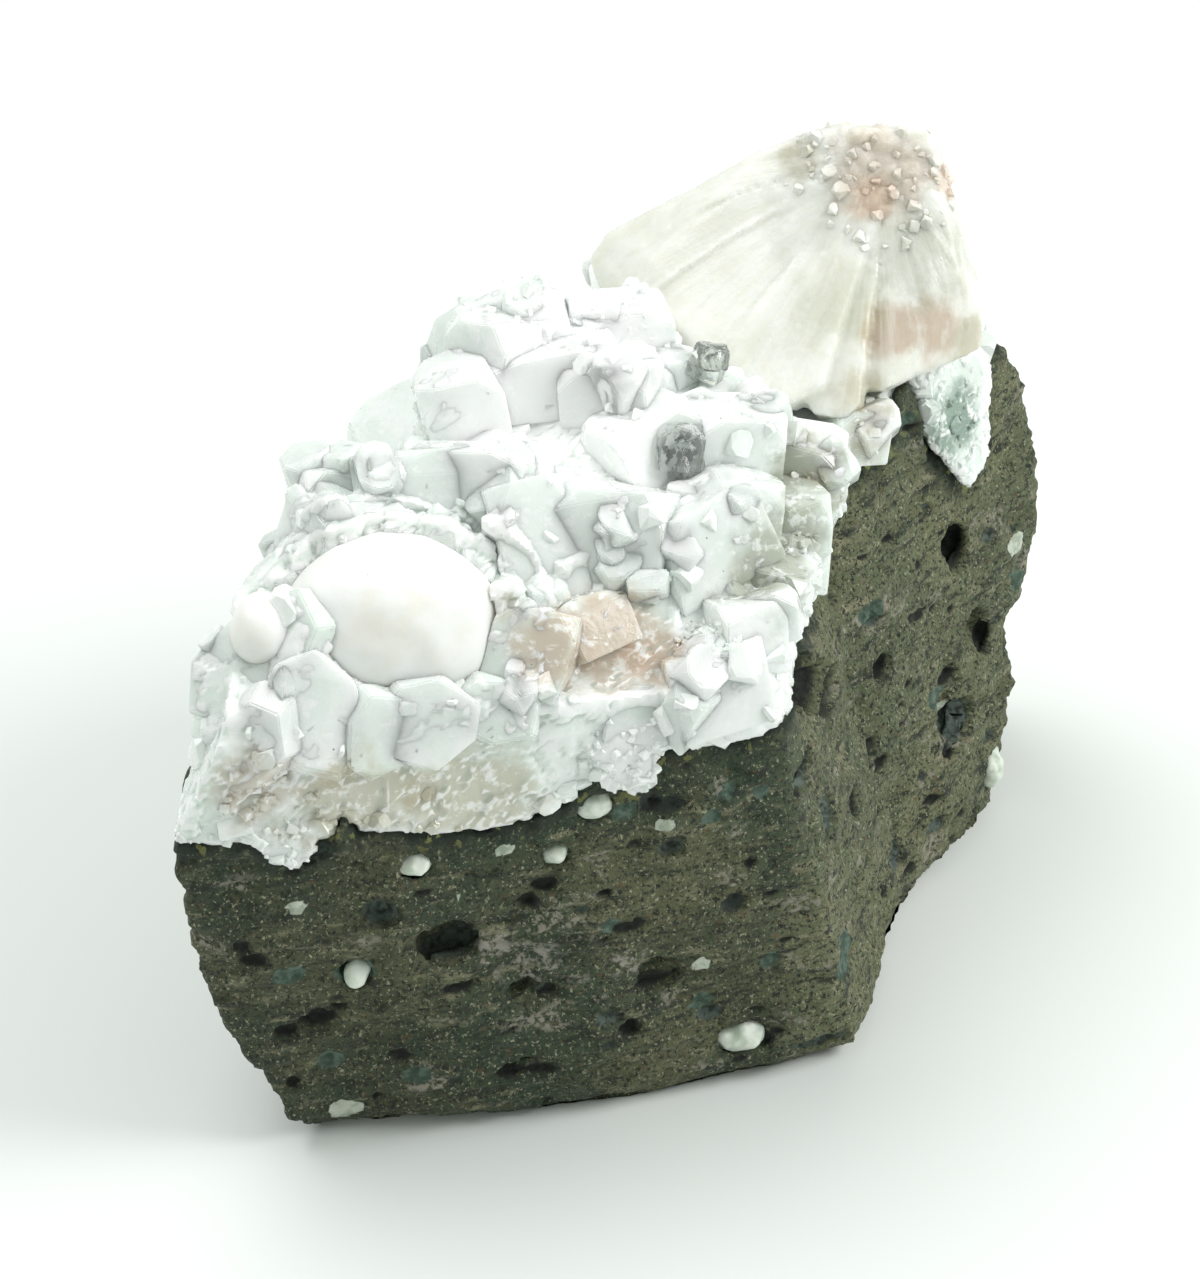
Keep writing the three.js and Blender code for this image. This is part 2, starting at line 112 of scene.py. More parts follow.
def remeshed(node, voxel, smooth=0, extra=None):
    """An even, fine mesh of a CAD node's solid, grown together with an extra mesh."""
    grown = bmesh.new()
    grown.from_mesh(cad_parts[node].data)
    if extra:
        grown.from_mesh(extra)
    together = bpy.data.meshes.new(node + "_copy")
    grown.to_mesh(together)
    grown.free()
    copy = bpy.data.objects.new(node + "_copy", together)
    bpy.context.scene.collection.objects.link(copy)
    remesh = copy.modifiers.new("remesh", "REMESH")
    remesh.mode = "VOXEL"
    remesh.voxel_size = voxel * MM
    if smooth:
        relax = copy.modifiers.new("smooth", "SMOOTH")
        relax.factor = 0.5
        relax.iterations = smooth
    bpy.context.view_layer.update()
    evaluated = copy.evaluated_get(bpy.context.evaluated_depsgraph_get())
    mesh = bpy.data.meshes.new_from_object(evaluated)
    bpy.data.objects.remove(copy)
    return mesh


def piece(name, mesh, material, nodes=(), smooth=True, crease=None):
    """A finished piece of the specimen, in place of the CAD nodes it shows."""
    mesh.name = name
    mesh.materials.clear()
    mesh.materials.append(material)
    for polygon in mesh.polygons:
        polygon.use_smooth = smooth
    if crease:
        mesh.set_sharp_from_angle(angle=math.radians(crease))
    made = bpy.data.objects.new(name, mesh)
    bpy.context.scene.collection.objects.link(made)
    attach(made, "root")
    if nodes:
        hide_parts(*nodes)
    return made


class Pile:
    """Many small closed shapes gathered into one mesh."""

    def __init__(self):
        self.places, self.faces, self.count = [], [], 0

    def add(self, shape, matrix):
        points, faces = shape
        self.places.append(points @ np.array(matrix.to_3x3()).T + np.array(matrix.translation))
        self.faces.extend([[i + self.count for i in face] for face in faces])
        self.count += len(points)

    def swollen(self, by):
        """The same shapes, with their corners moved out from the middle by some mm."""
        grown = Pile()
        grown.faces, grown.count = self.faces, self.count
        for points in self.places:
            middle = points.mean(axis=0)
            reach = np.linalg.norm(points - middle, axis=1).max()
            grown.places.append(middle + (points - middle) * (1 + by / reach))
        return grown

    def mesh(self):
        mesh = bpy.data.meshes.new("pile")
        mesh.from_pydata((held(np.concatenate(self.places)) * MM).tolist(), [], self.faces)
        return mesh


def convex(points, bevel=0.0):
    """Points and faces of a convex solid, with its edges rounded by bevel."""
    bm = bmesh.new()
    for point in points:
        bm.verts.new(point)
    hull = bmesh.ops.convex_hull(bm, input=bm.verts)
    buried = [g for g in hull["geom_interior"] if isinstance(g, bmesh.types.BMVert)]
    bmesh.ops.delete(bm, geom=buried, context="VERTS")
    bmesh.ops.dissolve_limit(bm, angle_limit=0.02, verts=bm.verts, edges=bm.edges)
    if bevel:
        edges = list(bm.edges)
        bmesh.ops.bevel(bm, geom=edges, offset=bevel, segments=2, affect="EDGES", clamp_overlap=True)
    bm.verts.index_update()
    made = np.array([v.co[:] for v in bm.verts]), [[v.index for v in f.verts] for f in bm.faces]
    bm.free()
    return made


def shaken(points, draw, amount):
    """The same points, each moved a little, so that no two crystals are alike."""
    return [tuple(c * (1 + draw.uniform(-amount, amount)) for c in point) for point in points]


def block_points(size, corner=0.3):
    """A box whose top corners are cut back."""
    cut = 1 - 2 * corner
    points = []
    for sx in (-0.5, 0.5):
        for sy in (-0.5, 0.5):
            corners = (
                (sx, sy, -0.5), (sx, sy, 0.5 - corner), (sx * cut, sy, 0.5), (sx, sy * cut, 0.5),
            )
            points += [(x * size[0], y * size[1], z * size[2]) for x, y, z in corners]
    return points


def tablet_points(size, corners=9):
    """A rounded plate, thin in depth."""
    points = []
    for i in range(corners):
        angle = math.tau * (i + 0.3) / corners
        x, z = 0.5 * size[0] * math.cos(angle), 0.5 * size[2] * math.sin(angle)
        half = 0.5 * size[1]
        points += [(x, 0, z), (0.86 * x, -half, 0.86 * z), (0.86 * x, half, 0.86 * z)]
    return points


def turned(at, heading, lean, roll):
    """The same turn as the solids' crystals have: degrees about Z, X and Y."""
    turn = (
        Matrix.Rotation(math.radians(heading), 3, "Z")
        @ Matrix.Rotation(math.radians(lean), 3, "X")
        @ Matrix.Rotation(math.radians(roll), 3, "Y")
    )
    return Matrix.Translation(at) @ turn.to_4x4()


# Relief


def facet(p, metric="DISTANCE"):
    """Height of a surface broken into tilted flat cells about one unit wide."""
    cell = noise.voronoi(p, distance_metric=metric)[1][0]
    tilt = noise.cell_vector(cell * 97.0) * 2 - Vector((1, 1, 1))
    return (p - cell).dot(tilt)


def lumps(p):
    """Height of grown-together lumps about one unit wide, with soft joints between them."""
    distance, cell = noise.voronoi(p)
    joint = min(1.0, (distance[1] - distance[0]) / 0.35)
    tilt = noise.cell_vector(cell[0] * 97.0) * 2 - Vector((1, 1, 1))
    return joint * (0.5 + 0.5 * (p - cell[0]).dot(tilt))


def moved_out(mesh, height):
    """Moves each vertex along its normal by height(place in mm) and returns the new places."""
    co, normal = read(mesh)
    push = np.array([height(Vector(p)) for p in co])
    co += normal * push[:, None]
    return co, normal


def ridges(mesh, co, normal):
    """How far each vertex stands out from its neighbours: above 0 on edges, below 0 in crevices."""
    ends = np.empty(len(mesh.edges) * 2, np.int32)
    mesh.edges.foreach_get("vertices", ends)
    first, second = ends.reshape(-1, 2).T
    total, count = np.zeros_like(co), np.zeros(len(co))
    for here, there in ((first, second), (second, first)):
        np.add.at(total, here, co[there])
        np.add.at(count, here, 1)
    return ((co - total / np.maximum(count, 1)[:, None]) * normal).sum(axis=1)


def tree_of(co):
    tree = kdtree.KDTree(len(co))
    for i, p in enumerate(co):
        tree.insert(p, i)
    tree.balance()
    return tree


def inside(co, tree, centre, radii):
    """Vertices within an ellipsoid, each with 0 at its rim up to 1 in its middle."""
    for _, i, _ in tree.find_range(centre, max(radii)):
        share = 1 - sum(((a - c) / r) ** 2 for a, c, r in zip(co[i], centre, radii))
        if share > 0:
            yield i, math.sqrt(share)


# Materials


class Shader:
    """Builds a node material with few words."""

    def __init__(self, name):
        self.material = bpy.data.materials.new(name)
        self.material.use_nodes = True
        self.nodes, self.links = self.material.node_tree.nodes, self.material.node_tree.links
        self.surface = self.nodes["Principled BSDF"]
        self.output = self.nodes["Material Output"]

    def node(self, kind, inputs=(), **settings):
        made = self.nodes.new("ShaderNode" + kind)
        for key, value in settings.items():
            setattr(made, key, value)
        for key, value in dict(inputs).items():
            self.set(made.inputs[key], value)
        return made

    def set(self, socket, value):
        if isinstance(value, bpy.types.NodeSocket):
            self.links.new(value, socket)
        elif isinstance(value, tuple) and socket.type == "RGBA" and len(value) == 3:
            socket.default_value = (*value, 1)
        else:
            socket.default_value = value

    def place(self, stretch=(1, 1, 1)):
        """The place in the frame in millimetres, stretched."""
        at = self.node("TexCoord").outputs["Object"]
        scale = tuple(s / MM for s in stretch)
        return self.node("VectorMath", {0: at, 1: scale}, operation="MULTIPLY").outputs[0]

    def noise(self, size, detail=3, stretch=(1, 1, 1), roughness=0.55):
        inputs = {"Vector": self.place(stretch), "Scale": 1 / size, "Detail": detail}
        return self.node("TexNoise", {**inputs, "Roughness": roughness}).outputs["Fac"]

    def cells(self, size):
        inputs = {"Vector": self.place(), "Scale": 1 / size}
        return self.node("TexVoronoi", inputs).outputs["Distance"]

    def ramp(self, value, low, high, low_to=0.0, high_to=1.0):
        inputs = {0: value, 1: low, 2: high, 3: low_to, 4: high_to}
        return self.node("MapRange", inputs, interpolation_type="SMOOTHSTEP").outputs[0]

    def mix(self, amount, first, second):
        made = self.node("Mix", data_type="RGBA")
        for index, value in ((0, amount), (6, first), (7, second)):
            self.set(made.inputs[index], value)
        return made.outputs[2]

    def math(self, operation, first, second):
        return self.node("Math", {0: first, 1: second}, operation=operation).outputs[0]

    def times(self, first, second):
        return self.math("MULTIPLY", first, second)

    def rays(self, at, number):
        """Streaks that run out from a place."""
        away = self.node("VectorMath", {0: self.place(), 1: tuple(place(*at))}, operation="SUBTRACT")
        ray = self.node("VectorMath", {0: away.outputs[0]}, operation="NORMALIZE").outputs[0]
        inputs = {"Vector": ray, "Scale": number, "Detail": 4, "Roughness": 0.6}
        return self.node("TexNoise", inputs).outputs["Fac"]

    def attribute(self, name):
        return self.node("Attribute", attribute_name=name).outputs["Fac"]

    def near(self, at, radius, ragged=0.5):
        """One around a place, fading to nothing at the radius, with a ragged edge."""
        inputs = {0: self.place(), 1: tuple(place(*at))}
        apart = self.node("VectorMath", inputs, operation="DISTANCE").outputs["Value"]
        wander = self.times(self.noise(2.2), 2 * ragged * radius)
        reach = self.math("ADD", apart, wander)
        return self.ramp(reach, (0.45 + ragged) * radius, (1 + ragged) * radius, 1, 0)

    def bump(self, height, distance, strength=1.0, under=None):
        inputs = {"Height": height, "Distance": distance * MM, "Strength": strength}
        if under is not None:
            inputs["Normal"] = under
        return self.node("Bump", inputs).outputs[0]

    def finish(self, **inputs):
        for key, value in inputs.items():
            self.set(self.surface.inputs[key.replace("_", " ")], value)
        return self.material


def basalt():
    s = Shader("basalt")
    tone = s.ramp(s.noise(16, 3), 0.38, 0.62)
    colour = s.mix(tone, (0.045, 0.07, 0.038), (0.125, 0.132, 0.068))
    # painted light: lighter and yellower towards the right-hand face, where the key lamp falls; darker
    # towards the left end
    east = s.node("SeparateXYZ", {0: s.place()}).outputs["X"]
    colour = s.mix(s.ramp(east, 10, 17, 0, 0.45), colour, (0.22, 0.24, 0.13))
    colour = s.mix(s.ramp(east, -30, -6, 0.4, 0), colour, (0.03, 0.045, 0.025))
    # faint bedding: thin level streaks, darker and lighter
    streaks = s.noise(1.0, 4, (0.22, 0.3, 1), 0.65)
    colour = s.mix(s.ramp(streaks, 0.5, 0.66), colour, (0.03, 0.04, 0.025))
    colour = s.mix(s.ramp(s.noise(1.3, 4, (0.3, 0.3, 1)), 0.55, 0.75), colour, (0.27, 0.26, 0.16))
    # mineral grains
    colour = s.mix(s.ramp(s.noise(0.42, 3, roughness=0.7), 0.5, 0.62), colour, (0.02, 0.025, 0.018))
    colour = s.mix(s.ramp(s.noise(0.36, 3, (1.1, 1, 0.9), 0.7), 0.56, 0.7), colour, (0.42, 0.42, 0.28))
    rust = s.times(s.ramp(s.noise(0.8, 3), 0.6, 0.7), 0.5)
    colour = s.mix(rust, colour, (0.16, 0.1, 0.05))
    pale = s.times(s.ramp(s.noise(5, 3, (0.6, 1, 1.4)), 0.58, 0.7), s.ramp(s.noise(0.6, 3), 0.45, 0.6))
    colour = s.mix(pale, colour, (0.32, 0.3, 0.24))
    mottled = s.times(s.attribute("pale"), s.ramp(s.noise(1.2, 4, roughness=0.7), 0.45, 0.6))
    colour = s.mix(mottled, colour, (0.4, 0.37, 0.32))
    # painted shade: darker and greener under the crust's edge, with yellowish spots there
    rim = s.times(s.attribute("rim"), s.ramp(s.noise(1.6, 3), 0.3, 0.55, 0, 1.4))
    colour = s.mix(rim, colour, (0.022, 0.034, 0.022))
    yellow = s.times(s.attribute("rim"), s.ramp(s.noise(1.5, 3), 0.6, 0.64, 0, 1.4))
    colour = s.mix(s.times(yellow, 0.6), colour, (0.3, 0.31, 0.1))
    # bubbles: open ones painted near black, as painted shade in the hollow; lined ones green or
    # blue-grey with near-black patches; or full
    lining = s.mix(s.attribute("lining"), (0.012, 0.014, 0.011), (0.17, 0.22, 0.19))
    lining = s.mix(s.ramp(s.noise(0.7, 2), 0.4, 0.7), lining, (0.03, 0.036, 0.028))
    colour = s.mix(s.ramp(s.attribute("pit"), 0.15, 0.6), colour, lining)
    green = s.mix(s.ramp(s.noise(0.9, 3), 0.4, 0.65), (0.05, 0.085, 0.06), (0.13, 0.19, 0.15))
    colour = s.mix(s.ramp(s.attribute("green"), 0.1, 0.35), colour, green)
    white = s.mix(s.ramp(s.noise(0.9, 3), 0.4, 0.65), (0.66, 0.7, 0.6), (0.42, 0.48, 0.38))
    colour = s.mix(s.ramp(s.attribute("white"), 0.15, 0.35), colour, white)
    grains = s.bump(s.noise(0.3, 4, roughness=0.75), 0.26)
    holes = s.bump(s.ramp(s.cells(0.8), 0.08, 0.25), 0.14, 0.7, grains)
    beds = s.bump(streaks, 0.3, 0.8, holes)
    return s.finish(Base_Color=colour, Roughness=0.7, Specular_IOR_Level=0.4, Normal=beds)


PINK = (0.6, 0.49, 0.39)
PEACH = (0.6, 0.57, 0.46)
ORANGE = (0.74, 0.5, 0.36)
BROWN = (0.48, 0.41, 0.29)
OLIVE = (0.42, 0.43, 0.24)
GREY_GREEN = (0.28, 0.37, 0.31)
CREAM = (0.42, 0.44, 0.36)
WHITE = (0.985, 0.99, 0.985)
# the next is a painted dark reflection for the clear crystals
PAINTED_DARK_GLINT = (0.04, 0.055, 0.05)

# Stains in the crust, and painted light on its ridge: place, radius in mm, colour and strength
CRUST_STAINS_AND_LIGHT = (
    ((0.8, 6.6, 47.4), 5.6, PINK, 0.85),
    ((5, 6.4, 45.4), 3.6, PINK, 0.8),
    ((-4, 4.4, 48), 4.6, PINK, 0.8),
    ((2.6, 6.4, 45.6), 2.2, ORANGE, 0.35),
    ((-20, -3.3, 38.4), 7.0, PEACH, 0.85),
    ((-10.4, -1, 36.6), 7.5, PEACH, 0.8),
    ((-28, -4.6, 41), 5.0, PINK, 0.6),
    ((-22, -3.4, 41.5), 2.6, BROWN, 0.5),
    ((-14.8, -1.6, 37.6), 2.4, BROWN, 0.45),
    ((-21.3, 6.2, 54.4), 2.2, BROWN, 0.5),
    ((-8, 6.6, 50.9), 2.2, BROWN, 0.5),
    ((13.8, 15, 49), 5.5, CREAM, 0.8),
    ((12.5, 11, 46.5), 4.5, CREAM, 0.8),
    ((15.3, 21.3, 48.6), 5.5, CREAM, 0.8),
    ((16.8, 28, 50), 5.5, CREAM, 0.85),
    ((18.9, 28.3, 49), 3.4, BROWN, 0.5),
    ((22.9, 37.8, 48.7), 4.0, PEACH, 0.95),
    ((13.8, 12, 42), 3.0, OLIVE, 0.5),
    ((31.5, 45.5, 44.4), 5.0, GREY_GREEN, 1.0),
    # painted light: the top ridge is painted near white, where the light falls brightest
    ((-3.4, 30, 59), 9.0, WHITE, 1.0),
    ((1.7, 37, 59), 8.0, WHITE, 1.0),
    ((-8.5, 27, 56), 7.0, WHITE, 1.0),
    ((5.3, 46, 56), 7.0, WHITE, 1.0),
    # the white lump in front, its own colour
    ((2.5, 1.8, 39), 4.4, WHITE, 1.0),
    # painted light again, weaker, over the top of the crust
    ((2, 22, 55), 8.0, WHITE, 0.7),
)
CLEAR_PLACES = ((6.2, 23.6, 55.2), (9.4, 35.4, 56.6))


def crystal_colour(s, base, shade, stains_and_light):
    colour = s.mix(s.ramp(s.noise(4.5, 4), 0.35, 0.68), base, shade)
    # stains, and painted light where the list holds it
    for at, radius, tint, strength in stains_and_light:
        colour = s.mix(s.times(s.near(at, radius), strength), colour, tint)
    return colour


def apophyllite(name, depth, weight):
    """Crystal that light enters to a depth in mm. The weight is the share of light that does."""
    s = Shader(name)
    tone = s.mix(s.ramp(s.attribute("tone"), 0.2, 1.0), (0.95, 0.965, 0.95), (0.73, 0.805, 0.75))
    colour = crystal_colour(s, tone, (0.81, 0.87, 0.83), CRUST_STAINS_AND_LIGHT)
    ridge = s.attribute("ridge")
    # painted highlight on convex edges, painted shade in crevices
    colour = s.mix(s.ramp(ridge, 0.01, 0.08, 0, 0.8), colour, (0.98, 0.99, 0.98))
    colour = s.mix(s.ramp(ridge, -0.08, -0.01, 0.5, 0), colour, (0.55, 0.62, 0.56))
    # painted dark reflections: patches of the crust round the clear crystals are painted dark, to glint
    # through them
    for at in CLEAR_PLACES:
        glint = s.times(s.near(at, 2.5, 0.1), s.ramp(s.noise(1.0, 3), 0.46, 0.56))
        colour = s.mix(glint, colour, PAINTED_DARK_GLINT)
    # white veils and short straight fractures inside the crystals
    veils = s.ramp(s.noise(1.6, 4, roughness=0.65), 0.54, 0.66, 0, 0.7)
    colour = s.mix(veils, colour, (0.98, 0.99, 0.98))
    fractures = s.ramp(s.noise(0.5, 2, (0.16, 0.6, 0.9)), 0.66, 0.72, 0, 0.3)
    colour = s.mix(fractures, colour, (0.99, 0.995, 0.99))
    specks = s.ramp(s.cells(3.0), 0.02, 0.035, 0.7, 0)
    colour = s.mix(specks, colour, (0.07, 0.06, 0.05))
    relief = s.bump(s.noise(0.7, 4, roughness=0.6), 0.07, 0.5)
    steps = s.bump(fractures, 0.05, 0.5, relief)
    rough = s.ramp(s.noise(1.4, 3), 0.3, 0.7, 0.08, 0.32)
    return s.finish(
        Base_Color=colour, Roughness=rough, IOR=1.54, Normal=steps, Subsurface_Weight=weight,
        Subsurface_Radius=(1.0, 1.05, 0.95), Subsurface_Scale=depth * MM,
    )


FAN_STAINS = (
    ((24.2, 48.5, 65.6), 2.6, ORANGE, 0.8),
    ((24.5, 50, 67), 6.0, PINK, 0.65),
    ((30.1, 51.1, 65.6), 2.4, ORANGE, 0.55),
    ((17.7, 52.1, 67.3), 2.6, PEACH, 0.8),
    ((25.4, 41, 56.5), 3.4, PINK, 0.9),
    ((29.1, 43.2, 55.2), 4.0, PINK, 0.9),
    ((32.8, 44.2, 53.5), 3.0, PEACH, 0.9),
    ((22.6, 38, 51.6), 3.4, PEACH, 0.9),
    ((21, 43, 57.5), 5.5, OLIVE, 0.3),
    ((28, 47, 60), 6.0, CREAM, 0.45),
)


def stilbite(name, depth, weight):
    """Crystal that light enters to a depth in mm. The weight is the share of light that does."""
    s = Shader(name)
    colour = crystal_colour(s, (0.87, 0.865, 0.82), (0.8, 0.795, 0.73), FAN_STAINS)
    streaks = s.rays(FAN_APEX, 15)
    colour = s.mix(s.ramp(streaks, 0.5, 0.7, 0, 0.3), colour, (0.95, 0.945, 0.91))
    colour = s.mix(s.ramp(streaks, 0.3, 0.45, 0.25, 0), colour, (0.72, 0.72, 0.58))
    relief = s.bump(streaks, 0.12, 0.5, s.bump(s.noise(0.6, 3), 0.06, 0.5))
    rough = s.ramp(s.noise(1.8, 3), 0.3, 0.7, 0.2, 0.42)
    return s.finish(
        Base_Color=colour, Roughness=rough, IOR=1.5, Normal=relief, Subsurface_Weight=weight,
        Subsurface_Radius=(1.0, 0.95, 0.82), Subsurface_Scale=depth * MM,
    )


def white_stilbite():
    s = Shader("white_stilbite")
    colour = s.mix(s.ramp(s.noise(3.2, 4), 0.35, 0.7), (0.96, 0.95, 0.92), (0.91, 0.88, 0.83))
    specks = s.ramp(s.cells(2.6), 0.02, 0.035, 0.6, 0)
    colour = s.mix(specks, colour, (0.14, 0.11, 0.08))
    relief = s.bump(s.noise(0.7, 4), 0.05, 0.5)
    return s.finish(
        Base_Color=colour, Roughness=0.48, Normal=relief, Subsurface_Weight=0.9,
        Subsurface_Radius=(1.0, 0.96, 0.9), Subsurface_Scale=2.0 * MM,
    )


def clear_apophyllite():
    s = Shader("clear_apophyllite")
    relief = s.bump(s.noise(1.3, 3), 0.3, 0.6)
    absorb = s.node("VolumeAbsorption")
    absorb.inputs["Color"].default_value = (0.82, 0.92, 0.86, 1)
    absorb.inputs["Density"].default_value = 30
    s.links.new(absorb.outputs[0], s.output.inputs["Volume"])
    white = (0.96, 0.98, 0.96)
    return s.finish(Base_Color=white, Roughness=0.03, IOR=1.54, Transmission_Weight=0.92, Normal=relief)


def amygdule_white():
    s = Shader("amygdule_white")
    colour = s.mix(s.ramp(s.noise(1.8, 4), 0.42, 0.65), (0.8, 0.84, 0.76), (0.55, 0.62, 0.52))
    relief = s.bump(s.noise(0.5, 4), 0.08, 0.7)
    return s.finish(
        Base_Color=colour, Roughness=0.42, Normal=relief, Subsurface_Weight=0.5,
        Subsurface_Radius=(1.0, 1.0, 0.9), Subsurface_Scale=0.8 * MM,
    )


# Rock

# Open bubbles seen in the photograph besides those in the solid: place, radii, lining
SEEN_BUBBLES = (
    ((-12.9, -0.6, 21.4), (2.7, 2.0, 2.2), 0.6),
    ((-18.3, -2.7, 26.0), (1.7, 1.6, 1.4), 0.8),
    ((5.1, 3.4, 13.8), (2.3, 1.6, 1.6), 0.1),
    ((2.6, 2.7, 9.1), (1.1, 1.6, 1.0), 0.0),
    ((-8.0, 0.3, 6.3), (1.5, 1.6, 0.7), 0.0),
    ((-5.1, 0.7, 6.2), (1.7, 1.6, 0.6), 0.0),
    ((-30.0, -4.4, 23.9), (0.9, 1.6, 0.9), 0.0),
    ((-12.1, -1.4, 17.1), (1.9, 1.6, 0.6), 0.0),
    ((-22.2, -2.2, 15.5), (0.8, 1.6, 0.7), 0.0),
    ((-4.5, 0.4, 14.7), (1.1, 1.6, 0.7), 0.0),
    # a gash along the top of the right-hand corner
    ((15.8, 11.4, 40.2), (2.8, 3.4, 2.3), 0.0),
    ((17.0, 14.6, 37.4), (2.8, 3.4, 2.3), 0.0),
    ((18.4, 17.8, 34.8), (2.6, 3.4, 2.1), 0.0),
    ((19.9, 21.7, 31.4), (1.9, 3.2, 2.0), 0.1),
    # lined bubbles down that corner
    ((17.1, 10.6, 31.5), (1.3, 2.2, 2.4), 1.0),
    ((19.6, 12.1, 24.9), (1.1, 2.0, 2.2), 0.9),
    ((22.8, 17.9, 12.9), (0.9, 1.8, 2.3), 0.6),
    ((19.5, 8.2, 3.0), (2.9, 3.0, 0.9), 0.7),
    # right-hand face
    ((32.5, 46.0, 30.1), (1.4, 2.4, 2.6), 0.0),
    ((35.6, 47.1, 19.5), (0.9, 1.9, 1.7), 0.0),
    ((25.6, 34.3, 25.0), (1.1, 1.8, 1.3), 0.0),
    ((33.2, 42.0, 13.6), (2.1, 3.2, 2.6), 0.7),
    ((27.2, 31.2, 5.8), (0.8, 1.6, 2.1), 0.8),
    ((31.4, 36.0, 5.7), (1.3, 2.1, 0.9), 0.8),
)
# Bubbles filled flush with a green or a white mineral
GREEN_FILLS = (
    ((-20.6, -3.1, 19.7), 1.8), ((24.2, 34.1, 31.2), 1.6), ((31.1, 39.4, 17.9), 1.4),
    ((21.4, 10.7, 10.7), 2.6), ((39, 51.4, 22.9), 1.3), ((27.1, 40.7, 47.3), 1.2),
    ((10.5, 4.8, 33.3), 1.0), ((13.5, 5.9, 32.5), 0.9), ((9.3, 4.4, 31), 1.0),
    ((-15.9, -1.3, 7.1), 1.3), ((-26.1, -3.7, 20.2), 1.5), ((0.8, 1.2, 21.7), 1.1),
    ((8.7, 5.4, 10), 1.2), ((-23.2, -1.5, 9), 1.2), ((14.8, 6.9, 13.3), 1.0), ((2, 2, 33), 1.1),
    ((30, 40, 12), 1.4),
)
WHITE_FILLS = (
    ((-25.2, -4, 27.8), 0.9), ((-7.9, -0.3, 31), 0.8), ((5.5, 2.9, 31.3), 0.9),
    ((-12, -1.2, 26.7), 0.45), ((38.7, 51.1, 27.2), 1.4), ((-22.1, -0.8, 2.9), 1.6),
    ((31.6, 41.7, 15.5), 0.9), ((8.6, 4.7, 14.8), 0.9), ((6.6, 5, 17.4), 0.8),
)
PALE_PATCHES = (((-6, 0.8, 18.2), 3.4), ((-9, -0.5, 20.5), 2.4), ((2, 2.5, 17), 2.0))
UNDER_CRUST_WIDTH = 2.6  # of the painted shade under the crust
FOOT_HEIGHT = 3.2  # of the part of the rock that is broken away at the floor
FOOT_UNDERCUT = 1.8
ROCK_PITS = 380
GREEN_SINK, WHITE_STAND = -0.4, 0.15  # of the fillings' middles below and above the rock's face


def rock_height(p):
    broad = noise.fractal(p / 7, 1.0, 2.0, 3)
    ledges = noise.noise(Vector((p.x / 6, p.y / 6, p.z / 0.9)))
    chips = facet(p / 2.6)
    crumbs = facet(p / 0.9)
    return CLOSE_GAP + 0.35 * broad + 0.3 * ledges + 0.34 * chips + 0.16 * crumbs


def hollow(co, normal, tree, pits, pit, lining):
    """Sinks round hollows into the rock and notes how deep and how lined each vertex is."""
    for centre, radii, line in pits:
        for i, share in inside(co, tree, centre, radii):
            co[i] -= normal[i] * 1.2 * min(radii[0], radii[2]) * share
            pit[i] = max(pit[i], share)
            lining[i] = line


def build_rock(material, crust_tree):
    mesh = remeshed("basalt_matrix", ROCK_VOXEL, smooth=5)
    co, normal = moved_out(mesh, rock_height)
    tree = tree_of(co)
    pit, lining, green, white, pale = (np.zeros(len(co)) for _ in range(5))
    draw = random.Random(3)
    pits = [(place(*at), radii, line) for at, radii, line in SEEN_BUBBLES]
    for _ in range(ROCK_PITS):
        size = 0.45 + 0.8 * draw.random() ** 3
        radii = (size * draw.uniform(1, 1.7), size * 1.4, size * draw.uniform(0.6, 1))
        line = draw.choice((0, 0, 0, 0.3, 0.7))
        pits.append((Vector(co[draw.randrange(len(co))]), radii, line))
    hollow(co, normal, tree, pits, pit, lining)
    for fills, shares, lift in (
        (GREEN_FILLS, green, GREEN_SINK), (WHITE_FILLS, white, WHITE_STAND), (PALE_PATCHES, pale, 0),
    ):
        for at, radius in fills:
            for i, share in inside(co, tree, place(*at), (radius, radius, 0.8 * radius)):
                shares[i] = share + 0.5 * noise.noise(Vector(co[i]) / 0.9)
                co[i] += normal[i] * lift * share
    # nearness to the crust, for the painted shade and the yellowish spots under it
    rim = [max(0.0, 1 - crust_tree.find(p)[2] / UNDER_CRUST_WIDTH) for p in co]
    # the foot is broken away a little all round, so that the rock stands in its own shadow
    foot = np.clip(1 - co[:, 2] / FOOT_HEIGHT, 0, 1) ** 2
    co[:, :2] -= FOOT_UNDERCUT * foot[:, None] * normal[:, :2]
    write(mesh, co)
    layers = {"pit": pit, "lining": lining, "green": green, "white": white, "pale": pale, "rim": rim}
    for name, values in layers.items():
        paint(mesh, name, values)
    piece("rock", mesh, material, ["basalt_matrix"])
    return tree


def build_fillings(material):
    for i in range(1, 7):
        node = f"amygdule_{i}"
        mesh = remeshed(node, 0.16, smooth=3)
        co, _ = moved_out(mesh, lambda p: 0.12 + 0.4 * noise.noise(p / 1.1))
        write(mesh, co)
        piece(f"filling_{i}", mesh, material, [node])


# Crust

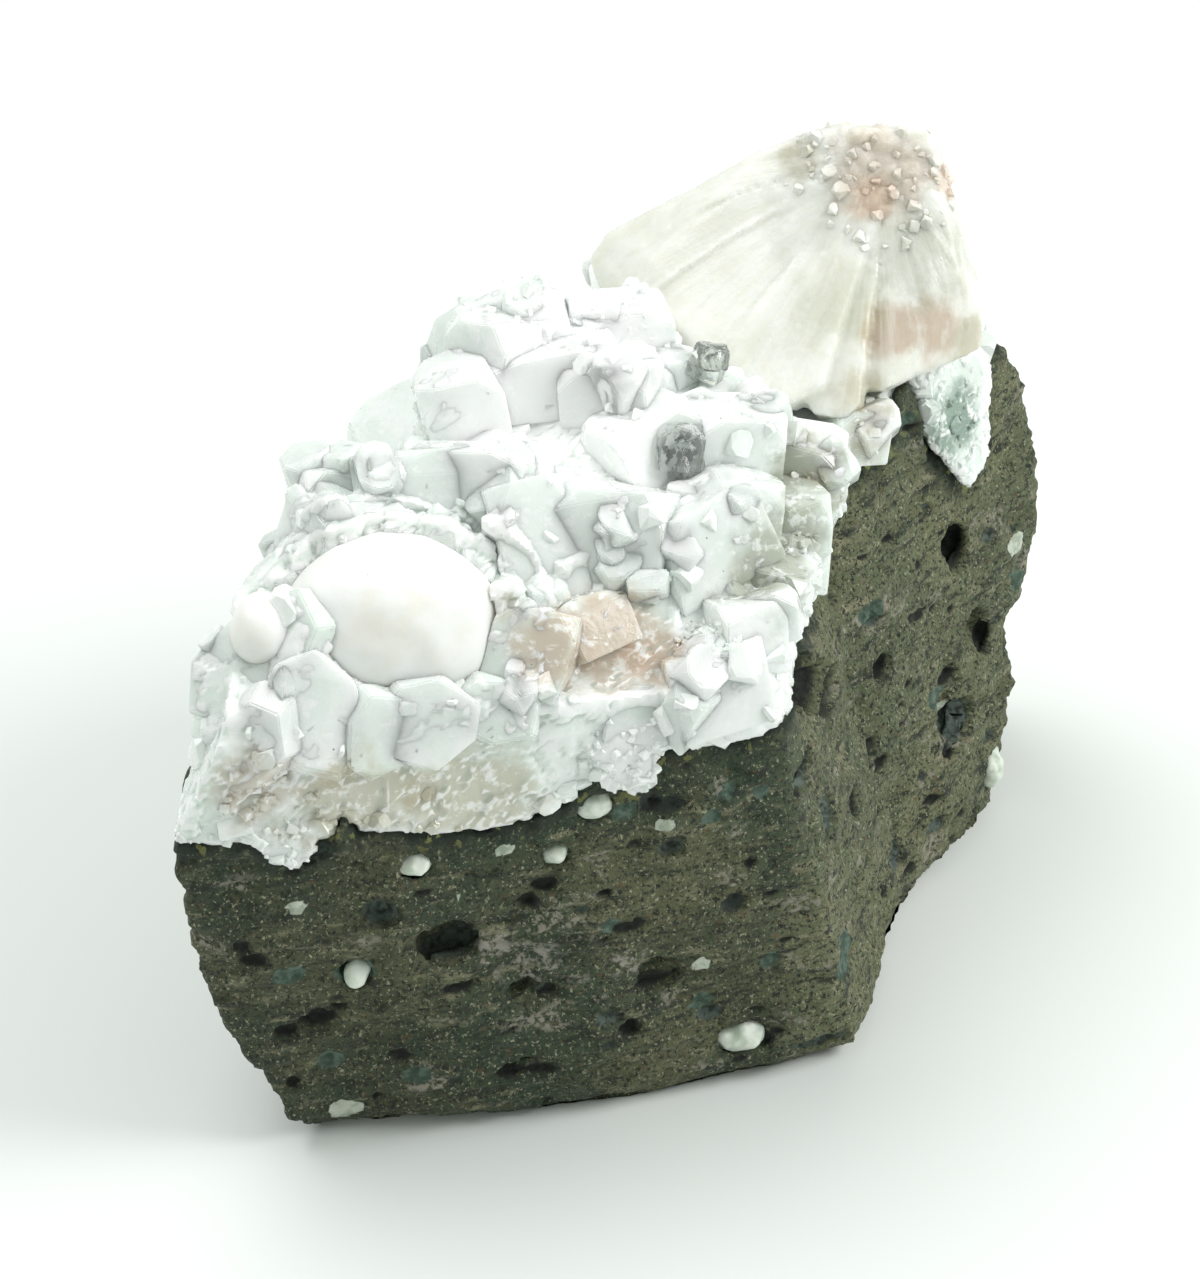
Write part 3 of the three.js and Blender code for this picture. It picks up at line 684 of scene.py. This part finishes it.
# The large crystals of the solid: place, size, heading, lean, roll
BLOCKS = (
    ((-22.5, 21, 52), (5, 5, 5), 20, -20, 8),
    ((-20.5, 14.5, 52.5), (7, 5, 5), 32, -35, 10),
    ((-16, 19, 54), (8, 6, 6), 18, -28, 6),
    ((-10.5, 20, 54), (8, 6, 6), -8, -25, -6),
    ((-11.8, 29.4, 55.6), (6, 6, 7), 12, -8, -14),
    ((-8.6, 34, 57.6), (6, 6, 7), 50, -5, 14),
    ((-5.5, 14.5, 51.5), (6, 6, 9), 14, -38, -4),
    ((1, 15.5, 51.5), (9, 7, 8), -12, -30, 5),
    ((8, 17, 50.5), (9, 8, 7), 30, -22, -10),
    ((11.5, 21, 50.5), (6, 6, 6), 8, -15, 12),
    ((3.5, 25.5, 54.5), (7, 6, 5), 40, -12, -6),
    ((11, 28, 53), (7, 6, 6), 18, -10, 10),
    ((1, 30, 56), (7, 6, 6), -16, -14, -8),
    ((-7, 38, 57.5), (8, 8, 6), 10, -6, -10),
    ((1.5, 40, 57.4), (7, 6, 4.6), 22, -8, 8),
    ((-4, 33, 57), (10, 7, 5), 4, -16, -5),
    ((-5.8, 44, 54.8), (7, 7, 6), 30, 6, -16),
    ((14, 17, 45.5), (6, 7, 6), -15, -12, 12),
    ((16, 24, 46.5), (5, 6, 7), 20, -8, 8),
    ((17.5, 30, 48.5), (6, 5, 7), -10, -10, 6),
    ((9.8, 5.6, 43.5), (7, 5, 6), 12, -24, -8),
    ((11.5, 9.8, 46), (5, 6, 5), 30, -24, 12),
    ((-5.5, 5.5, 47), (6, 5, 6), -12, -40, 8),
    ((3, 4.4, 41.6), (5, 4, 4), 15, -30, 12),
    ((-1, 8.6, 47.4), (5, 4, 4), 30, -42, -6),
    ((22.4, 38, 48), (4, 4, 4), 22, -12, 10),
    ((-17, 38, 46), (8, 7, 8), 30, 24, -10),
    ((-9, 50, 47), (9, 8, 9), 22, 28, 6),
    ((4, 60, 48), (8, 7, 9), 12, 30, -8),
    ((17, 65, 48), (9, 6, 8), -6, 26, 10),
    ((29, 62, 47), (7, 8, 8), -30, 14, 8),
)
TABLETS = (
    ((-27.6, 2.4, 48.2), (9, 3, 14), -36, -42, 30),
    ((-27.8, -3, 44.2), (6, 3, 8.6), -24, -16, 18),
    ((-23.4, 17, 51), (7, 3, 8), -40, -36, 10),
    ((-23.2, -1.6, 46), (8, 3, 9.5), 12, -30, -12),
    ((-18.2, -1.8, 44.2), (6, 2.6, 7), 26, -20, 20),
    ((-14.2, -0.8, 44.4), (8, 2.6, 6.5), 8, -26, -6),
    ((-8.6, 0.8, 44.6), (7, 3, 5), 4, -34, 8),
)
# Places thick with tiny crystals: place, radius, how many, largest size
SUGAR = (
    ((9, 6.8, 45.6), 3.2, 70, 0.8),
    ((2.5, 1.5, 39), 4.0, 70, 0.8),
    ((15.5, 20, 44), 5.0, 130, 1.3),
    ((18, 29, 46.5), 4.5, 120, 1.2),
    ((24, 39, 48), 4.5, 120, 1.2),
    ((31, 45.5, 45), 6.0, 60, 0.7),
    ((-3, 40, 59), 10.0, 200, 1.4),
    ((-27, -4, 37), 5.0, 70, 1.0),
)
SPARSE_CRYSTALS = 150
GROWN_CRYSTALS = 800  # tries; those on steep or small faces or in smooth places are left out
GROWN_SIZE = (1.5, 4.4)
STEEPEST_SEAT = 0.35  # least upward share of the normal of a face that carries a crystal
SMALL_FACE = 1.0  # mm2, too small for a crystal to sit on
CRYSTAL_STAND = 0.75  # of a crystal's corners out of the crust
# Crystals that close round the large dome, in a ring that faces forward and up
DOME_RING = 46
RING_SIZE = (2.0, 3.6)
RING_HALF_WIDTH, RING_HALF_HEIGHT = 8.8, 7.07
RING_UP = (0.574, 0.819)  # y and z of the ring's upward direction
RING_BACK, RING_DROP = 1.2, 0.8
GRAIN = Euler([math.radians(angle) for angle in (-28, 12, 24)]).to_matrix()  # of crystal facets
# Places that stay smooth: the domes, the pink hollow and the pale band along the front
SMOOTH_PLACES = (
    ((-17.1, 5, 50), 10.0), ((-27.5, 2.6, 51), 4.0), ((-1, 5.5, 46), 6.0), ((4, 6, 44), 4.0),
    ((-22, -4, 38), 6.5), ((-10, -1, 38), 7.5), ((-29, -5, 40), 4.5),
    ((6.2, 22, 56), 4.0), ((9.4, 34, 57.4), 3.2),
)
FRINGE_CRYSTALS = 420
FRINGE_WIDTH = 1.3


def ledges_round_dome(p):
    """A lip that closes round the large dome and two low ledges that run round its back."""
    apart = p - place(*DOME_CENTRE)
    reach = math.sqrt(sum((a / r) ** 2 for a, r in zip(apart, DOME_RADII)))
    reach += 0.06 * noise.noise(p / 3)
    behind = min(1.0, max(0.0, (apart.y + 4) / 5))
    ledges = sum(math.exp(-(((reach - ring) / 0.07) ** 2)) for ring in (1.2, 1.48))
    lip = math.exp(-(((reach - 1.06) / 0.06) ** 2))
    return 0.6 * behind * ledges + 0.3 * lip


def crust_height(p):
    broad = noise.fractal(p / 6, 1.0, 2.0, 2)
    blocky = facet(GRAIN @ p / 3.2, "CHEBYCHEV")
    fine = facet(GRAIN @ p / 1.4, "CHEBYCHEV")
    return CLOSE_GAP + 0.12 * broad + 0.3 * blocky + 0.14 * fine + ledges_round_dome(p)


def small_shapes(draw):
    """A few crystal shapes, one mm across."""
    shapes = []
    for _ in range(8):
        size = (1, draw.uniform(0.6, 1), draw.uniform(0.8, 1.3))
        points = shaken(block_points(size, draw.uniform(0.1, 0.4)), draw, 0.15)
        shapes.append(convex(points))
    for _ in range(3):
        points = shaken(tablet_points((1, 0.3, draw.uniform(0.9, 1.4)), 7), draw, 0.1)
        shapes.append(convex(points))
    return shapes


def seat(pile, shape, at, normal, size, sink, draw, spin=None):
    """Sets a crystal of some size on a surface, tilted at random and partly sunk in."""
    out = Vector(normal).to_track_quat("Z", "Y").to_matrix().to_4x4()
    lean = [math.radians(draw.gauss(0, 26 if spin is None else 10)) for _ in range(2)]
    spin = draw.uniform(0, math.tau) if spin is None else spin
    tilt = Euler((*lean, spin)).to_matrix() * size
    foot = Vector(at) - Vector(normal) * sink * size
    pile.add(shape, Matrix.Translation(foot) @ out @ tilt.to_4x4())


def large_crystals():
    """The solid's crystals, a little shaken, and smaller ones scattered over the solid's skin.

    Gives them as a pile, and their middles.
    """
    draw = random.Random(5)
    large, middles = Pile(), []
    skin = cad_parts["crystal_crust"].data
    for _ in range(GROWN_CRYSTALS):
        face = skin.polygons[draw.randrange(len(skin.polygons))]
        if face.normal.z < STEEPEST_SEAT or face.area < SMALL_FACE * MM**2:
            continue
        corners = [skin.vertices[i].co / MM for i in face.vertices]
        weights = [draw.random() for _ in corners]
        at = sum((w * c for w, c in zip(weights, corners)), Vector()) / sum(weights)
        if any((at - place(*middle)).length < radius for middle, radius in SMOOTH_PLACES):
            continue
        size = draw.uniform(*GROWN_SIZE)
        points = block_points((size, size * draw.uniform(0.5, 0.9), size * draw.uniform(0.8, 1.2)))
        shape = convex(shaken(points, draw, 0.18), 0.07)
        spin = math.tau * noise.noise(at / 9) + draw.gauss(0, 0.12)
        outward = (Vector(face.normal) + Vector((-0.2, -0.3, 1.2))).normalized()
        seat(large, shape, at, outward, 1.0, 0.3 * size, draw, spin)
        middles.append(at)
    for step in range(DOME_RING):
        angle = math.tau * (step + draw.uniform(-0.3, 0.3)) / DOME_RING
        reach = draw.uniform(1.02, 1.1)
        across = RING_HALF_WIDTH * reach * math.cos(angle)
        up = RING_HALF_HEIGHT * reach * math.sin(angle)
        shift = (across, RING_UP[0] * up + RING_BACK, RING_UP[1] * up - RING_DROP)
        at = place(*DOME_CENTRE) + Vector(shift)
        size = draw.uniform(*RING_SIZE)
        points = block_points((size, size * draw.uniform(0.5, 0.9), size * draw.uniform(0.7, 1)))
        turn = draw.uniform(0, 90), draw.uniform(-50, 0), draw.uniform(-30, 30)
        large.add(convex(shaken(points, draw, 0.18), 0.07), turned(at, *turn))
        middles.append(at)
    for at, size, *turn in BLOCKS:
        points = shaken(block_points([1.04 * side for side in size], 0.26), draw, 0.11)
        large.add(convex(points, 0.1), turned(place(*at), *turn))
    for at, size, *turn in TABLETS:
        points = shaken(tablet_points([1.04 * side for side in size], 7), draw, 0.15)
        large.add(convex(points, 0.1), turned(place(*at), *turn))
    middles += [place(*at) for at, *_ in BLOCKS + TABLETS]
    return large, middles


def crystal_tones(co, middles):
    """A number from 0 to 1 for each vertex, the same all over one crystal."""
    draw = random.Random(17)
    tones = [draw.random() for _ in middles]
    tree = tree_of(middles)
    return [tones[tree.find(p)[1]] for p in co]


def build_crystals(crystals, material):
    """The crystals' flat faces, standing out of the crust that has grown over their feet."""
    draw = random.Random(41)
    mesh = crystals.swollen(CRYSTAL_STAND).mesh()
    tones = []
    for points in crystals.places:
        tones += [draw.random()] * len(points)
    paint(mesh, "tone", tones)
    piece("large_crystals", mesh, material, smooth=False)


def build_crust(mesh, co, normal, material, crystal_material, rock_tree):
    piece("crust", mesh, material, ["crystal_crust"], crease=32)

    draw = random.Random(11)
    dome, radii = np.array(place(*DOME_CENTRE)), np.array(DOME_RADII)
    free = (normal[:, 2] > -0.6) & (np.linalg.norm((co - dome) / radii, axis=1) > 1.08)
    shapes = small_shapes(draw)
    small = Pile()
    for at, radius, number, largest in SUGAR:
        close = np.flatnonzero(free & (np.linalg.norm(co - np.array(place(*at)), axis=1) < radius))
        for _ in range(number):
            i = close[draw.randrange(len(close))]
            size = 0.4 + (largest - 0.4) * draw.random() ** 2
            seat(small, draw.choice(shapes), co[i], normal[i], size, 0.1, draw)
    top = np.flatnonzero(free & (normal[:, 2] > -0.1))
    for _ in range(SPARSE_CRYSTALS):
        i = top[draw.randrange(len(top))]
        seat(small, draw.choice(shapes), co[i], normal[i], 0.8 + 2.4 * draw.random() ** 2, 0.3, draw)
    # a ragged fringe where the crust meets the rock
    edge = [i for i in np.flatnonzero(normal[:, 2] > -0.5) if rock_tree.find(co[i])[2] < FRINGE_WIDTH]
    for _ in range(FRINGE_CRYSTALS):
        i = edge[draw.randrange(len(edge))]
        seat(small, draw.choice(shapes), co[i], normal[i], 0.5 + 1.3 * draw.random() ** 2, 0.3, draw)
    piece("small_crystals", small.mesh(), crystal_material, smooth=False)


def build_clear(material):
    draw = random.Random(31)
    for name, at, size, turn in (
        ("large", CLEAR_PLACES[0], (4.4, 4.2, 4.4), (24, -26, 16)),
        ("small", CLEAR_PLACES[1], (3.2, 3.0, 3.2), (-18, -22, 10)),
    ):
        pile = Pile()
        for share, spin in ((0.92, 0), (0.66, 35), (0.5, 70)):
            points = shaken(block_points([share * side for side in size]), draw, 0.1)
            shift = Vector([(1 - share) * draw.uniform(-0.5, 0.5) * side for side in size])
            heading, lean, roll = turn
            pile.add(convex(points, 0.08), turned(place(*at) + shift, heading + spin, lean, roll))
        node = f"clear_crystal_{name}"
        piece(f"glassy_crystal_{name}", pile.mesh(), material, [node], smooth=False)


# Fan and domes

FAN_CRUMBS = 120
# The fan's blades lie almost in one plane on each side of a narrow groove: x of its two edges
FAN_GROOVE = (17.0, 23.6)


def fan_panels():
    """Two broad panels that bridge the small steps between the solid's blades."""
    places = [v.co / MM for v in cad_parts["stilbite_fan"].data.vertices]
    left, right = (place(edge, 0, 0).x for edge in FAN_GROOVE)
    panels = Pile()
    for side in ([p for p in places if p.x < left], [p for p in places if p.x > right]):
        panels.add(convex(side), Matrix())
    return panels.mesh()


def build_fan(material, loose_material):
    mesh = remeshed("stilbite_fan", FAN_VOXEL, 2, fan_panels())
    apex = place(*FAN_APEX)

    def height(p):
        """Broken flat steps along the blades, and rough lumps at the apex."""
        ray = (p - apex).normalized()
        far = (p - apex).length
        rough = max(0.0, 1 - far / 8)
        steps = facet(Vector((ray.x * 5, ray.y * 5, ray.z * 5 + far / 16)))
        return (1 - rough) * 0.16 * steps + rough * 0.7 * lumps(p / 1.7)

    co, normal = moved_out(mesh, height)
    write(mesh, co)
    piece("fan", mesh, material, ["stilbite_fan"], crease=40)

    # crumbs of crystal at the apex
    draw = random.Random(23)
    loose = Pile()
    shapes = small_shapes(draw)
    rough = [i for i in range(len(co)) if (Vector(co[i]) - apex).length < 8.5]
    for _ in range(FAN_CRUMBS):
        i = draw.choice(rough)
        size = 0.5 + 0.9 * draw.random() ** 2
        seat(loose, draw.choice(shapes), co[i], normal[i], size, 0.35, draw)
    piece("fan_crumbs", loose.mesh(), loose_material, smooth=False)


def build_domes(material):
    for name, node in (("dome", "stilbite_dome"), ("dome_small", "stilbite_dome_small")):
        mesh = remeshed(node, 0.3, smooth=20)
        co, _ = moved_out(mesh, lambda p: 0.35 + 0.5 * noise.fractal(p / 5, 1.0, 2.0, 2))
        write(mesh, co)
        piece(name, mesh, material, [node])


# Studio


def aim(made, at, target):
    made.location = Vector(at) * MM
    direction = Vector(target) * MM - made.location
    made.rotation_euler = direction.to_track_quat("-Z", "Y").to_euler()


def add_camera():
    camera = bpy.data.objects.new("camera", bpy.data.cameras.new("camera"))
    bpy.context.scene.collection.objects.link(camera)
    camera.data.lens = CAMERA_LENS
    camera.data.clip_start = 0.01
    target = place(*CAMERA_TARGET)
    back = Vector((0, -math.cos(CAMERA_ELEVATION), math.sin(CAMERA_ELEVATION)))
    aim(camera, target + back * CAMERA_DISTANCE, target)
    bpy.context.scene.camera = camera


def add_light(name, at, size, watts):
    light = bpy.data.objects.new(name, bpy.data.lights.new(name, "AREA"))
    bpy.context.scene.collection.objects.link(light)
    light.data.shape = "DISK"
    light.data.size = size * MM
    light.data.energy = watts
    aim(light, at, (0, 0, 30))


def add_studio():
    bpy.ops.mesh.primitive_plane_add(size=4)
    floor = bpy.context.object
    floor.name = "floor"
    s = Shader("floor")
    paper = s.mix(s.noise(60, 2), (0.87, 0.9, 0.88), (0.885, 0.91, 0.89))
    floor.data.materials.append(s.finish(Base_Color=paper, Roughness=0.75))
    world = bpy.data.worlds.new("world")
    world.use_nodes = True
    background = world.node_tree.nodes["Background"]
    background.inputs["Color"].default_value = (0.93, 1.0, 0.94, 1)
    background.inputs["Strength"].default_value = 0.48
    bpy.context.scene.world = world
    add_light("key", (410, -40, 370), 300, 1.8)
    add_light("fill", (-190, 110, 460), 420, 1.45)
    view = bpy.context.scene.view_settings
    view.view_transform = "Standard"
    view.exposure = 0.0


def build():
    add_camera()
    add_studio()
    crystals, middles = large_crystals()
    crust = remeshed("crystal_crust", CRUST_VOXEL, 0, crystals.mesh())
    co, normal = moved_out(crust, crust_height)
    paint(crust, "tone", crystal_tones(co, middles))
    paint(crust, "ridge", ridges(crust, co, normal))
    write(crust, co)
    rock_tree = build_rock(basalt(), tree_of(co))
    build_fillings(amygdule_white())
    crust_material = apophyllite("apophyllite", 1.1, 0.65)
    small_material = apophyllite("small_apophyllite", 0.3, 0.0)
    build_crust(crust, co, normal, crust_material, small_material, rock_tree)
    build_crystals(crystals, apophyllite("large_apophyllite", 1.4, 0.55))
    build_clear(clear_apophyllite())
    build_fan(stilbite("stilbite", 1.6, 0.85), stilbite("stilbite_crumb", 0.4, 0.0))
    build_domes(white_stilbite())


build()
